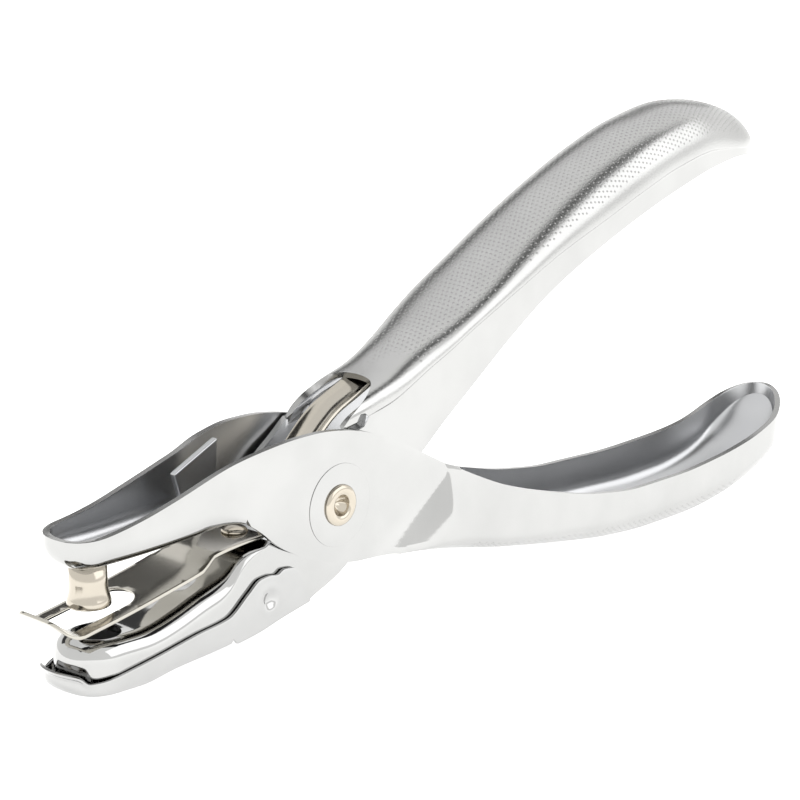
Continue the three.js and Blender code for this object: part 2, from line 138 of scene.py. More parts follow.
# Edge of the upper handle's mouth: [share of the way from the cheek to the crown, x].
MOUTH = [[0, 1.5], [0.15, 3.4], [0.3, 5.4], [0.5, 7.6], [0.75, 9.5], [1, 10.2]]
MOUTH_BLEND = 16  # length over which the slant of the mouth fades out
MOUTH_BOX = 2  # how much boxier the section is at the mouth

# ---- shape helpers --------------------------------------------------------------------------


def curve(points, soften=0.8):
    """Smooth function of x through [x, value] points, rounded over about the given length."""
    x, value = np.array(points, float).T
    rise = np.diff(value) / np.diff(x)
    turns = rise[:-1] * rise[1:] <= 0
    middle = np.where(turns, 0, 2 * rise[:-1] * rise[1:] / np.where(turns, 1, rise[:-1] + rise[1:]))
    slope = np.concatenate([rise[:1], middle, rise[-1:]])
    fine = np.arange(x[0] - 5, x[-1] + 5, FINE)
    i = np.clip(np.searchsorted(x, fine) - 1, 0, len(x) - 2)
    width = x[i + 1] - x[i]
    t = np.clip((fine - x[i]) / width, 0, 1)
    s = 1 - t
    dense = value[i] * s * s * (1 + 2 * t) + value[i + 1] * t * t * (3 - 2 * t)
    dense += width * (slope[i] * t * s * s - slope[i + 1] * t * t * s)
    dense += slope[0] * np.minimum(fine - x[0], 0) + slope[-1] * np.maximum(fine - x[-1], 0)
    reach = np.arange(-3 * soften, 3 * soften + FINE, FINE)
    weights = np.exp(-0.5 * (reach / soften) ** 2)
    ends = (len(weights) // 2, (len(weights) - 1) // 2)
    rounded = np.convolve(np.pad(dense, ends, mode="edge"), weights / weights.sum(), "valid")
    return lambda q: np.interp(q, fine, rounded)


def smooth(t):
    """0 before 0, 1 after 1 and smooth between."""
    t = np.clip(t, 0, 1)
    return t * t * (3 - 2 * t)


def in_frame(point):
    """A point in millimetres from the pivot, in the row frame in metres."""
    return PIVOT + Vector(point) * MM


def finish_mesh(name, mesh, outward=None):
    """Object from a bmesh, with its faces pointing out of the piece."""
    bmesh.ops.remove_doubles(mesh, verts=mesh.verts, dist=2e-7)
    bmesh.ops.recalc_face_normals(mesh, faces=mesh.faces)
    if outward and outward(mesh) < 0:
        bmesh.ops.reverse_faces(mesh, faces=mesh.faces)
    data = bpy.data.meshes.new(name)
    mesh.to_mesh(data)
    mesh.free()
    thing = bpy.data.objects.new(name, data)
    bpy.context.scene.collection.objects.link(thing)
    return thing


def sideways(mesh):
    """Positive if the faces of a symmetric open channel point away from its middle plane."""
    return sum(f.normal.y * f.calc_center_median().y * f.calc_area() for f in mesh.faces)


def add_grid(mesh, points):
    """Quads through a rows x columns array of points in millimetres."""
    rows = [[mesh.verts.new(in_frame(p)) for p in row] for row in points]
    for a, b in zip(rows, rows[1:]):
        for i in range(len(a) - 1):
            mesh.faces.new((a[i], b[i], b[i + 1], a[i + 1]))


def channel_sheet(name, patches):
    """Open sheet made of patches and their mirror images."""
    mesh = bmesh.new()
    for patch in patches:
        for side in (1, -1):
            add_grid(mesh, np.array(patch) * (1, side, 1))
    return finish_mesh(name, mesh, sideways)


def apply_modifiers(thing):
    """Makes the modifiers of an object part of its mesh."""
    graph = bpy.context.evaluated_depsgraph_get()
    made = bpy.data.meshes.new_from_object(thing.evaluated_get(graph))
    thing.modifiers.clear()
    thing.data = made


def thicken(thing, thick, finishes=()):
    """Gives an outer skin its sheet thickness, inwards; finishes: outside, inside, edges."""
    for finish in finishes:
        thing.data.materials.append(finish)
    shell = thing.modifiers.new("sheet", "SOLIDIFY")
    shell.material_offset = 1 if finishes else 0
    # Rim faces take the third finish; with the darker edge finish this paints a thin shade line along
    # every cut edge.
    shell.material_offset_rim = 2 if finishes else 0
    shell.thickness = thick * MM
    shell.offset = -1
    shell.use_even_offset = False
    apply_modifiers(thing)


def cut(thing, cutters):
    """Subtracts the cutters, which are then deleted."""
    for cutter in cutters:
        step = thing.modifiers.new("cut", "BOOLEAN")
        step.operation = "DIFFERENCE"
        step.solver = "EXACT"
        step.object = cutter
    apply_modifiers(thing)
    for cutter in cutters:
        bpy.data.objects.remove(cutter)


def cylinder(radius, length, centre, axis="Y", sides=64):
    """Plain cylinder used as a cutter."""
    mesh = bmesh.new()
    turn = Matrix.Rotation(math.pi / 2, 4, "X") if axis == "Y" else Matrix.Identity(4)
    place = Matrix.Translation(in_frame(centre)) @ turn
    bmesh.ops.create_cone(
        mesh, cap_ends=True, segments=sides, radius1=radius * MM, radius2=radius * MM,
        depth=length * MM, matrix=place,
    )
    return finish_mesh("cutter", mesh)


def round_edges(thing, width, segments=2, angle=40):
    """Rounds the sharp edges and evens the shading over flat faces."""
    edge = thing.modifiers.new("edges", "BEVEL")
    edge.width = width * MM
    edge.segments = segments
    edge.limit_method = "ANGLE"
    edge.angle_limit = math.radians(angle)
    edge.use_clamp_overlap = True
    thing.data.shade_smooth()
    even = thing.modifiers.new("shading", "WEIGHTED_NORMAL")
    even.keep_sharp = False
    even.weight = 70


def lathe(name, profile, steps=72):
    """Closed body turned about Z from an [r, z] profile in millimetres, at the pivot."""
    mesh = bmesh.new()
    rings = []
    for k in range(steps):
        a = 2 * math.pi * k / steps
        across, along = MM * math.cos(a), MM * math.sin(a)
        rings.append([mesh.verts.new((r * across, r * along, z * MM)) for r, z in profile])
    for a, b in zip(rings, rings[1:] + rings[:1]):
        for i in range(len(profile) - 1):
            mesh.faces.new((a[i], b[i], b[i + 1], a[i + 1]))
    thing = finish_mesh(name, mesh)
    thing.data.shade_smooth()
    return thing


def arc(centre, radius, start, end, count):
    """Points on an arc, in degrees."""
    angles = np.radians(np.linspace(start, end, count))
    return [[centre[0] + radius * math.cos(a), centre[1] + radius * math.sin(a)] for a in angles]


# ---- levers ---------------------------------------------------------------------------------

WALL_STEPS = 16
BEND_STEPS = 9
FOLD_STEPS = 6
COVER_STEPS = 30
ARC_ROWS = 14
NOSE_BOX = 2.35  # exponent of the blunt nose of the upper jaw in plan
SHOULDER = 2.3  # exponent of the rounded box that the palm faces follow


def even_angles(count, across=8.0, height=5.0):
    """Angles that space points evenly along the rounded box from its side to its crown."""
    t = np.linspace(0, math.pi / 2, 2000)
    y = across * np.cos(t) ** (2 / SHOULDER)
    z = height * np.sin(t) ** (2 / SHOULDER)
    length = np.concatenate([[0], np.cumsum(np.hypot(np.diff(y), np.diff(z)))])
    return np.interp(np.linspace(0, length[-1], count + 1), length, t)


PALM_ANGLES = even_angles(COVER_STEPS - FOLD_STEPS)


def plan_rows(nose, nose_r, tip, tip_r, half, spacing, box=2):
    """Half of a plan outline from nose to tip: (x, y, x of the centre line point it faces)."""
    rows = []
    for a in np.linspace(0, math.pi / 2, ARC_ROWS, endpoint=False):
        x = nose + nose_r * (1 - math.cos(a) ** (2 / box))
        rows.append((x, half(x) * math.sin(a) ** (2 / box), nose + nose_r))
    x = nose + nose_r
    while x < tip - tip_r - 0.3:
        rows.append((x, half(x), x))
        x += spacing(x)
    for a in np.linspace(math.pi / 2, 0, ARC_ROWS + 1):
        x = tip - tip_r * (1 - math.cos(a))
        rows.append((x, half(x) * math.sin(a), tip - tip_r))
    return rows


def inward(row, distance):
    """Plan position at a distance from the outline towards the centre line."""
    x, y, middle = row
    reach = math.hypot(middle - x, y)
    return x + (middle - x) / reach * distance, y * (1 - distance / reach)


def jaw_cover(row, rim, web, corner, side):
    """Bent corner and flat web of a jaw, from the wall to the centre line."""
    x, y, middle = row
    reach = math.hypot(middle - x, y)
    r = min(corner(x), reach * 0.9, abs(rim(x) - web(x)) * 0.9)
    points = []
    for k in range(COVER_STEPS + 1):
        a = min(k / BEND_STEPS, 1) * math.pi / 2
        flat = max(k - BEND_STEPS, 0) / (COVER_STEPS - BEND_STEPS)
        px, py = inward(row, r * (1 - math.cos(a)) + (reach - r) * flat)
        points.append((px, py, web(px) + side * r * (1 - math.sin(a))))
    return points


def palm_cover(row, crease, crown, bulge, side, box=SHOULDER):
    """Rolled shoulder and palm face of a handle; box is the exponent of its section."""
    x, y, middle = row
    reach = math.hypot(middle - x, y)
    height = abs(crown(x) - crease(x))
    out = min(bulge(x), 0.3 * reach)
    roll = min(1.5 * out, 0.3 * height)
    start = crease(x) - side * roll
    points = []
    for k in range(FOLD_STEPS):
        s = k / FOLD_STEPS
        px, py = inward(row, -out * smooth(s))
        points.append((px, py, crease(x) - side * roll * s))
    for t in PALM_ANGLES:
        px, py = inward(row, -out + (reach + out) * (1 - math.cos(t) ** (2 / box)))
        base = start + crease(px) - crease(x)
        points.append((px, py, base + (crown(px) - base) * math.sin(t) ** (2 / box)))
    return points


def no_bulge(x):
    """The lower handle's palm face doesn't bulge past its cheeks."""
    return 0.0


def wall(row, rim, edge, flare=None):
    """Cheek from its rim to the edge of the web or the crease."""
    x, y, middle = row
    heights = [rim(x) + (edge(x) - rim(x)) * k / WALL_STEPS for k in range(WALL_STEPS + 1)]
    return [(x, y if flare is None else flare(x, y, z), z) for z in heights]


def outer_flare(x, y, z):
    """Half width of the outer lever's cheek, with the flat flare in front of the handle."""
    if x >= FLARE_END:
        return y
    run, climb = FLARE_HIGH[0] - FLARE_LOW[0], FLARE_HIGH[1] - FLARE_LOW[1]
    below = ((x - FLARE_LOW[0]) * climb - (z - FLARE_LOW[1]) * run) / math.hypot(run, climb)
    full = outer_handle_half(FLARE_END)
    width = (full - y) / FLARE_SLOPE
    ramp = np.logaddexp(0, below / FLARE_SOFT) - np.logaddexp(0, (below - width) / FLARE_SOFT)
    facet = y + FLARE_SLOPE * FLARE_SOFT * ramp
    return facet + (full - facet) * smooth((x - FLARE_END + FLARE_STEP) / FLARE_STEP)


outer_handle_half = curve(OUTER_HANDLE_HALF)
outer_front_half = curve(OUTER_HALF)


def outer_half(x):
    return outer_front_half(x) if x < FLARE_END else outer_handle_half(x)


def spacing(x):
    """Distance between cross sections."""
    if x < 8:
        return 0.8
    return 0.45 if x < 24 else 1.5


def build_outer_lever():
    """Upper jaw and lower handle."""
    rim, web, corner = curve(OUTER_RIM), curve(OUTER_WEB, 0.5), curve(OUTER_CORNER)
    crease = curve(OUTER_CREASE)
    front, back = OUTER_WINDOW
    rows = plan_rows(
        OUTER_NOSE, OUTER_NOSE_R, OUTER_TIP, OUTER_TIP_R, outer_half, spacing, NOSE_BOX,
    )
    rows = [row for row in rows if min(abs(row[0] - front), abs(row[0] - back)) > 0.2]
    rows = sorted(rows + [(x, outer_half(x), x) for x in OUTER_WINDOW], key=lambda row: row[0])

    def edge_at(row):
        x, y, middle = row
        if x > front:
            return web(x) if x < back else crease(x)
        r = min(corner(x), 0.9 * math.hypot(middle - x, y), abs(rim(x) - web(x)) * 0.9)
        return web(x) + r

    walls = [wall(row, rim, lambda x, row=row: edge_at(row), outer_flare) for row in rows]
    jaw = [jaw_cover(row, rim, web, corner, 1) for row in rows if row[0] <= front]
    low = [(x, outer_flare(x, y, crease(x)), middle) for x, y, middle in rows if x >= back]
    palm = [palm_cover(row, crease, web, no_bulge, 1) for row in low]
    skin = channel_sheet("outer_lever_skin", [walls, jaw, palm])
    # Edges get the darker edge finish: painted shade lines along the sheet's cut edges.
    thicken(skin, SHEET, (CHROME, INNER_CHROME, EDGE_SHADE_CHROME))
    return skin


def build_inner_lever():
    """Lower jaw and upper handle."""
    rim, web, corner = curve(INNER_RIM), curve(INNER_WEB, 0.5), curve(INNER_CORNER)
    half = curve(INNER_HALF)
    crease, crown, bulge = curve(INNER_CREASE), curve(INNER_CROWN), curve(INNER_BULGE)
    mouth = curve([[q * 10, x] for q, x in MOUTH], 0.3)
    front, back = INNER_WINDOW
    rows = plan_rows(INNER_NOSE, INNER_NOSE_R, INNER_TIP, INNER_TIP_R, half, spacing)
    rows = [row for row in rows if min(abs(row[0] - front), abs(row[0] - back)) > 0.2]
    rows = sorted(rows + [(x, half(x), x) for x in INNER_WINDOW], key=lambda row: row[0])

    def edge_at(row):
        x, y, middle = row
        if x >= back:
            return crease(x)
        if x > front:
            return web(x)
        r = min(corner(x), 0.9 * math.hypot(middle - x, y), abs(rim(x) - web(x)) * 0.9)
        return web(x) - r

    def swept_palm(row):
        """Palm section; near the mouth its points are moved along to form the slanted edge."""
        x, y, middle = row
        plain = palm_cover(row, crease, crown, bulge, -1)
        fade = max(1 - (x - back) / MOUTH_BLEND, 0) ** 1.5
        if fade == 0:
            return plain
        points = []
        for k in range(COVER_STEPS + 1):
            up = max(k - FOLD_STEPS, 0) / (COVER_STEPS - FOLD_STEPS)
            at = x + fade * (mouth(10 * up) - back)
            box = SHOULDER + MOUTH_BOX * fade
            points.append(palm_cover((at, half(at), at), crease, crown, bulge, -1, box)[k])
        return points

    walls = [wall(row, rim, lambda x, row=row: edge_at(row)) for row in rows]
    jaw = [jaw_cover(row, rim, web, corner, -1) for row in rows if row[0] <= front]
    palm = [swept_palm(row) for row in rows if row[0] >= back]
    walls = [
        points if row[0] < back else points[:-1] + [palm[i - len(rows) + len(palm)][0]]
        for i, (row, points) in enumerate(zip(rows, walls))
    ]
    skin = channel_sheet("inner_lever_skin", [walls, jaw, palm])
    # Edges get the darker edge finish: painted shade lines along the sheet's cut edges.
    thicken(skin, SHEET, (CHROME, INNER_CHROME, EDGE_SHADE_CHROME))
    return skin


# ---- materials ------------------------------------------------------------------------------


def material(name, color, roughness, grain, grain_scale, satin=0.0):
    """Plated metal: fine grain, faint cloudiness, and satin grain where the palm mask says."""
    made = bpy.data.materials.new(name)
    made.use_nodes = True
    tree = made.node_tree
    tree.nodes.clear()
    link = tree.links.new
    out = tree.nodes.new("ShaderNodeOutputMaterial")
    shader = tree.nodes.new("ShaderNodeBsdfPrincipled")
    shader.inputs["Metallic"].default_value = 1
    place = tree.nodes.new("ShaderNodeTexCoord")
    cloud = tree.nodes.new("ShaderNodeTexNoise")
    cloud.inputs["Scale"].default_value = 90
    cloud.inputs["Detail"].default_value = 3
    link(place.outputs["Object"], cloud.inputs["Vector"])
    tint = tree.nodes.new("ShaderNodeValToRGB")
    darker = [channel * 0.93 for channel in color]
    tint.color_ramp.elements[0].position = 0.35
    tint.color_ramp.elements[0].color = (*darker, 1)
    tint.color_ramp.elements[1].position = 0.65
    tint.color_ramp.elements[1].color = (*color, 1)
    link(cloud.outputs["Fac"], tint.inputs["Fac"])
    link(tint.outputs["Color"], shader.inputs["Base Color"])
    level = tree.nodes.new("ShaderNodeMapRange")
    level.inputs["To Min"].default_value = roughness
    level.inputs["To Max"].default_value = roughness + 0.02
    link(cloud.outputs["Fac"], level.inputs["Value"])
    fine = tree.nodes.new("ShaderNodeTexNoise")
    fine.inputs["Scale"].default_value = grain_scale
    fine.inputs["Detail"].default_value = 2
    link(place.outputs["Object"], fine.inputs["Vector"])
    bump = tree.nodes.new("ShaderNodeBump")
    bump.inputs["Distance"].default_value = 0.00002
    bump.inputs["Strength"].default_value = grain
    link(fine.outputs["Fac"], bump.inputs["Height"])
    link(bump.outputs["Normal"], shader.inputs["Normal"])
    link(level.outputs["Result"], shader.inputs["Roughness"])
    if satin:
        mask = tree.nodes.new("ShaderNodeAttribute")
        mask.attribute_name = "palm"
        rougher = tree.nodes.new("ShaderNodeMath")
        rougher.operation = "MULTIPLY_ADD"
        rougher.inputs[1].default_value = satin
        link(mask.outputs["Fac"], rougher.inputs[0])
        link(level.outputs["Result"], rougher.inputs[2])
        link(rougher.outputs["Value"], shader.inputs["Roughness"])
        stronger = tree.nodes.new("ShaderNodeMath")
        stronger.operation = "MULTIPLY_ADD"
        stronger.inputs[1].default_value = 0.9
        stronger.inputs[2].default_value = grain
        link(mask.outputs["Fac"], stronger.inputs[0])
        link(stronger.outputs["Value"], bump.inputs["Strength"])
    link(shader.outputs["BSDF"], out.inputs["Surface"])
    return made


CHROME = material("chrome", (0.465, 0.465, 0.46), 0.05, 0.05, 3200, satin=0.2)
INNER_CHROME = material("inner_chrome", (0.5, 0.505, 0.515), 0.27, 0.02, 1500)
# Finish for cut sheet edges and pad sides: the rougher finish is the edges' own, the darker colour is
# painted shade that draws thin shade lines along them.
EDGE_SHADE_CHROME = material("edge_chrome_painted_shade", (0.36, 0.36, 0.355), 0.25, 0.05, 1500)
DOT_CHROME = material("dot_chrome", (0.48, 0.48, 0.475), 0.15, 0.05, 1500)
TRAY_CHROME = material("tray_chrome", (0.46, 0.46, 0.457), 0.07, 0.08, 1200)
NICKEL = material("nickel", (0.5, 0.455, 0.385), 0.12, 0.1, 1500)
STRIP_NICKEL = material("strip_nickel", (0.46, 0.44, 0.395), 0.14, 0.1, 1500)
PIN_STEEL = material("pin_steel", (0.49, 0.45, 0.385), 0.14, 0.12, 1500)
SPRING_STEEL = material("spring_steel", (0.46, 0.43, 0.375), 0.14, 0.2, 1200)

# ---- small pieces ---------------------------------------------------------------------------

PIN_AT = (-39.35, 0, -7.6)  # middle of the pin's cutting end
PIN_LEAN = -3  # degrees about Y
PIN_HOLE = (-39.45, 0, -1)
PIN_HOLE_R = 1.9
DIE_AT = (-38.15, 0, -12)
PIN_WEB = 6.07  # from the cutting end to the outer face of the jaw
RIVET_FACE = 7.28
RIVET_PETALS = 5
PAD_R = 6
STRIP_LINE = [
    [-49, -6.7], [-47.6, -8], [-46.4, -9.1], [-44.8, -9.7], [-43, -9.4], [-37.7, -8.4],
    [-30.7, -6.9], [-23.4, -5.1], [-20.6, -3.9], [-14.4, -3.1], [-11, -2.9],
]
STRIP_FRONT = -48.3
STRIP_BACK = -11.4
STRIP_HALF = 5.2
STRIP_REAR_HALF = 4.2
STRIP_WAIST = (-24, -21)  # the strip narrows to its rear part here
STRIP_THICK = 0.5
SLOT = (-44.6, -32.6)
SLOT_HALF = 3.15
STRIP_RIVET = (-13.4, 0, -4)
SPRING_BEND_R = 6
SPRING_UPPER = [[24, 22.2], [17, 18.5], [12.4, 15.8], [7.6, 13.5], [3.7, 11.7]]
SPRING_LOWER = [[3, -7.7], [9, -8.1], [15, -8.6], [23, -10.2], [30, -11.5]]
SPRING_HALF = 2.5
SPRING_THICK = 0.6
SPRING_CROWN = 0.7  # how far the spring's middle stands above its edges
TRAY_SHEET = 0.4
TRAY_CORNER = 1  # radius of the bend between its floor and walls
TRAY_LIP = 0.6  # how far the thumb lip flares out
LIP_DEPTH = 1.1
DENT_DEPTH = 0.45  # dimple over each stud
DENT_R = 1.35
DENT_SOFT = 0.8
RING_HEIGHT = 0.12  # raised ring round the dimple
RING_R = 1.9
RING_SOFT = 0.35
TRAY_HALF = 6.05
TRAY_NOSE = -45.2
TRAY_END = -4.2
TRAY_FLOOR_END = -19
TRAY_FLOOR = [
    [-45.2, -17.8], [-44.2, -18.3], [-42.3, -18.6], [-35, -18.6], [-28.8, -17.7], [-21.6, -17],
    [-14.1, -15.9], [-10.3, -14.9], [-4.2, -13.5],
]
TRAY_RIM = [
    [-46, -15.3], [-43.9, -15.6], [-43.2, -16.6], [-39.7, -16.1], [-32.4, -14.9], [-25.3, -13.5],
    [-19.8, -12.6], [-16.1, -9.9], [-13.9, -8.3], [-12, -8.1], [-10.6, -8.3], [-9.6, -7.7],
    [-7.4, -7.9], [-6.3, -9.2], [-4.2, -13],
]
RIVET_HOLE_R = 2.25
DIE_R = 3.35
STUD_HOLE_R = 1.1
DOT_PITCH = 0.85
DOT_R = 0.17
DOT_SIDES = 8
UPPER_DOTS = (13, 93)  # ends of the dotted faces
LOWER_DOTS = (28, 96)
UPPER_SHARE = 0.78  # share of the way from the crown to the crease that has dots
LOWER_SHARE = 0.9
UPPER_RISE = 0.04  # height of the dots on the upper handle
LOWER_RISE = 0.012  # and on the lower one
EDGE_ROUND = 0.22  # rounding of the levers' sheet edges
THIN_ROUND = 0.1  # and of the thinner sheets' edges


def build_pin():
    """Flared punch pin with a peened head inside the jaw."""
    flare = [[2.55 + 0.42 * (1 - t) ** 2.2, 0.8 + 2.4 * t] for t in np.linspace(0, 1, 9)]
    top = PIN_WEB + SHEET + 0.05
    head = [[2.7 * math.cos(a), top + 0.9 * math.sin(a)] for a in np.linspace(0.15, math.pi / 2, 9)]
    profile = [[0, 0.5], [1.9, 0.5], [2.3, 0.42], [2.75, 0.03], [2.93, 0.04], [2.97, 0.12]]
    profile += flare + [[2.55, PIN_WEB - 0.05], [1.7, PIN_WEB - 0.05], [1.7, top], [2.6, top]]
    pin = lathe("punch_pin_turned", profile + head[:-1] + [[0, top + 0.9]])
    lean = Matrix.Rotation(math.radians(PIN_LEAN), 4, "Y")
    pin.data.transform(Matrix.Translation(in_frame(PIN_AT)) @ lean)
    return pin


def build_pivot_rivet():
    """Hollow rivet: a tube whose ends are rolled out into heads, split in petals at the bore."""
    turn = np.linspace(0, math.pi * 0.85, 12)
    roll = [[2.2 + 0.8 * math.cos(a), RIVET_FACE + 0.12 + 0.5 * math.sin(a)] for a in turn]
    funnel = [[1.5, 0.15], [1.35, -0.1], [0.95, -0.7], [0.45, -1.1], [0, -1.15]]
    funnel = [[r, RIVET_FACE + z] for r, z in funnel]
    half = [[2, 0], [2, RIVET_FACE - 0.1], [2.1, RIVET_FACE], [2.9, RIVET_FACE]] + roll + funnel
    mirrored = [[r, -z] for r, z in half]
    rivet = lathe("pivot_rivet_rolled", list(reversed(mirrored)) + half[1:])
    for vertex in rivet.data.vertices:
        r = math.hypot(vertex.co.x, vertex.co.y) / MM
        a = math.atan2(vertex.co.y, vertex.co.x)
        split = max(1.5 - r, 0) * 0.25 * math.cos(RIVET_PETALS * a)
        vertex.co.x *= 1 + split
        vertex.co.y *= 1 + split
    rivet.data.transform(Matrix.Translation(PIVOT) @ Matrix.Rotation(math.pi / 2, 4, "X"))
    return rivet


def build_strip_rivet():
    """Round-headed rivet through the strip and the platform of the lower jaw."""
    head = [[1.9 * math.cos(a), 1.25 + 0.95 * math.sin(a)] for a in np.linspace(0.1, math.pi / 2, 9)]
    profile = [[0, -1.85], [1.4, -1.75], [1.7, -1.45], [1.7, -1.05], [1, -1.05], [1, 1.2], [1.85, 1.2]]
    rivet = lathe("strip_rivet_domed", profile + head[:-1] + [[0, 2.2]], 48)
    rivet.data.transform(Matrix.Translation(in_frame(STRIP_RIVET)))
    return rivet


def inside(polygon, x, y):
    """True where a point lies in a closed polygon."""
    hit = False
    for (ax, ay), (bx, by) in zip(polygon, polygon[1:] + polygon[:1]):
        if (ay > y) != (by > y) and x < (bx - ax) * (y - ay) / (by - ay) + ax:
            hit = not hit
    return hit


def densify(loop, step):
    """The loop with points added so that no side is longer than the step."""
    points = []
    for (ax, ay), (bx, by) in zip(loop, loop[1:] + loop[:1]):
        count = max(1, math.ceil(math.hypot(bx - ax, by - ay) / step))
        points += [(ax + (bx - ax) * k / count, ay + (by - ay) * k / count) for k in range(count)]
    return points


def cut_sheet(name, outline, holes, step, place):
    """Sheet with holes, from its plan outline; place turns a plan point into a 3-D one."""
    loops = [densify(outline, step)] + [densify(hole, step) for hole in holes]
    points, edges = [], []
    for loop in loops:
        first = len(points)
        points += loop
        edges += [(first + k, first + (k + 1) % len(loop)) for k in range(len(loop))]
    lows = np.min(outline, axis=0)
    highs = np.max(outline, axis=0)
    for x in np.arange(lows[0] + step / 2, highs[0], step):
        for y in np.arange(lows[1] + step / 2, highs[1], step):
            near = min(math.hypot(x - px, y - py) for loop in loops for px, py in loop)
            if near > 0.6 * step and inside(loops[0], x, y):
                points.append((x, y))
    made = delaunay_2d_cdt([Vector(p) for p in points], edges, [], 0, 1e-4)
    mesh = bmesh.new()
    verts = [mesh.verts.new(in_frame(place(p.x, p.y))) for p in made[0]]
    for face in made[2]:
        middle = sum((made[0][i] for i in face), Vector((0, 0))) / len(face)
        if inside(loops[0], *middle) and not any(inside(loop, *middle) for loop in loops[1:]):
            mesh.faces.new([verts[i] for i in face])
    loose = [v for v in mesh.verts if not v.link_faces]
    bmesh.ops.delete(mesh, geom=loose, context="VERTS")
    return finish_mesh(name, mesh, lambda m: sum(f.normal.z for f in m.faces))


def build_strip():
    """Stripper strip: a bent sheet with a turned-up rounded lip and an opening for the pin."""
    line = curve(STRIP_LINE, 0.25)
    r = 3.2
    outline = [[STRIP_WAIST[0], -STRIP_HALF], [STRIP_WAIST[1], -STRIP_REAR_HALF]]
    outline += [[STRIP_BACK, -STRIP_REAR_HALF], [STRIP_BACK, STRIP_REAR_HALF]]
    outline += [[STRIP_WAIST[1], STRIP_REAR_HALF], [STRIP_WAIST[0], STRIP_HALF]]
    outline += arc((STRIP_FRONT + r, STRIP_HALF - r), r, 90, 180, 9)
    outline += arc((STRIP_FRONT + r, r - STRIP_HALF), r, 180, 270, 9)
    slot = [[SLOT[0], -SLOT_HALF + 0.4], [SLOT[0], SLOT_HALF - 0.4], [SLOT[0] + 0.4, SLOT_HALF]]
    slot += arc((SLOT[1] - SLOT_HALF, 0), SLOT_HALF, 90, -90, 17) + [[SLOT[0] + 0.4, -SLOT_HALF]]
    strip = cut_sheet(
        "stripper_strip_bent", outline, [slot], 0.7,
        lambda x, y: (x, y, line(x) + STRIP_THICK / 2),
    )
    thicken(strip, STRIP_THICK)
    round_edges(strip, THIN_ROUND)
    return strip


def build_spring():
    """Leaf spring bent round the front of the rivet, slightly crowned across its width."""
    bend = arc((0, 0), SPRING_BEND_R, 130, 245, 11)
    rough = np.array(SPRING_UPPER + bend + SPRING_LOWER)
    length = np.concatenate([[0], np.cumsum(np.hypot(*np.diff(rough, axis=0).T))])
    along = np.arange(0, length[-1], 0.5)
    x = curve(np.column_stack([length, rough[:, 0]]), 0.8)(along)
    z = curve(np.column_stack([length, rough[:, 1]]), 0.8)(along)
    dx, dz = np.gradient(x), np.gradient(z)
    size = np.hypot(dx, dz)
    rows = []
    for k in range(len(along)):
        row = []
        for y in np.linspace(-SPRING_HALF, SPRING_HALF, 13):
            rise = SPRING_THICK / 2 - SPRING_CROWN * (y / SPRING_HALF) ** 2
            row.append((x[k] - dz[k] / size[k] * rise, y, z[k] + dx[k] / size[k] * rise))
        rows.append(row)
    mesh = bmesh.new()
    add_grid(mesh, rows)
    spring = finish_mesh("return_spring_leaf", mesh)
    thicken(spring, SPRING_THICK)
    round_edges(spring, THIN_ROUND)
    apply_modifiers(spring)
    return spring


def build_tray():
    """Chip tray: thin pan with a flared thumb lip, a notch behind it and two dimpled ears."""
    floor, rim = curve(TRAY_FLOOR, 0.5), curve(TRAY_RIM, 0.22)
    rows = []
    nose_middle = TRAY_NOSE + TRAY_HALF
    for a in np.linspace(0, math.pi / 2, 28, endpoint=False):
        rows.append((nose_middle - TRAY_HALF * math.cos(a), TRAY_HALF * math.sin(a), nose_middle))
    x = nose_middle
    while x < TRAY_END - 0.1:
        rows.append((x, TRAY_HALF, x))
        x += 0.35
    rows.append((TRAY_END, TRAY_HALF, TRAY_END))
    rows = [row for row in rows if abs(row[0] - TRAY_FLOOR_END) > 0.1]
    rows = sorted(rows + [(TRAY_FLOOR_END, TRAY_HALF, TRAY_FLOOR_END)], key=lambda row: row[0])
    walls, pans = [], []
    for row in rows:
        x, y, middle = row
        reach = math.hypot(middle - x, y)
        lip = TRAY_LIP * smooth((TRAY_NOSE + 3 - x) / 2)
        low = floor(x) + min(TRAY_CORNER, 0.9 * (rim(x) - floor(x)))
        if x > TRAY_FLOOR_END:
            low = floor(x) + TRAY_CORNER * smooth(TRAY_FLOOR_END + 1 - x)
        wall_points = []
        for k in range(15):
            z = rim(x) + (low - rim(x)) * k / 14
            flare = lip * smooth((z - rim(x) + LIP_DEPTH) / LIP_DEPTH) ** 1.5
            away = math.hypot(x - HINGE.x, z - HINGE.z)
            dent = DENT_DEPTH * smooth((DENT_R - away) / DENT_SOFT)
            ring = RING_HEIGHT * math.exp(-((away - RING_R) / RING_SOFT) ** 2)
            px, py = inward(row, dent - ring - flare)
            wall_points.append((px, py, z))
        walls.append(wall_points)
        if x <= TRAY_FLOOR_END:
            r = low - floor(x)
            pan = []
            for k in range(17):
                a = min(k / 6, 1) * math.pi / 2
                flat = max(k - 6, 0) / 10
                px, py = inward(row, r * (1 - math.cos(a)) + (reach - r) * flat)
                pan.append((px, py, floor(px) + r * (1 - math.sin(a))))
            pan[0] = wall_points[-1]
            pans.append(pan)
    tray = channel_sheet("chip_tray_pressed", [walls, pans])
    # Edges get the darker edge finish: painted shade lines along the tray's cut edges.
    thicken(tray, TRAY_SHEET, (TRAY_CHROME, TRAY_CHROME, EDGE_SHADE_CHROME))
    round_edges(tray, THIN_ROUND)
    return tray


def build_tab():
    """Guide plate lanced from the upper jaw's web."""
    mesh = bmesh.new()
    sides = []
    for y in (TAB_Y - TAB_THICK / 2, TAB_Y + TAB_THICK / 2):
        sides.append([mesh.verts.new(in_frame((x, y, z))) for x, z in GUIDE_TAB])
    near, far = sides
    mesh.faces.new(near)
    mesh.faces.new(list(reversed(far)))
    for i in range(len(near)):
        j = (i + 1) % len(near)
        mesh.faces.new((near[i], near[j], far[j], far[i]))
    tab = finish_mesh("guide_tab", mesh)
    round_edges(tab, 0.22, 3, 20)
    return tab


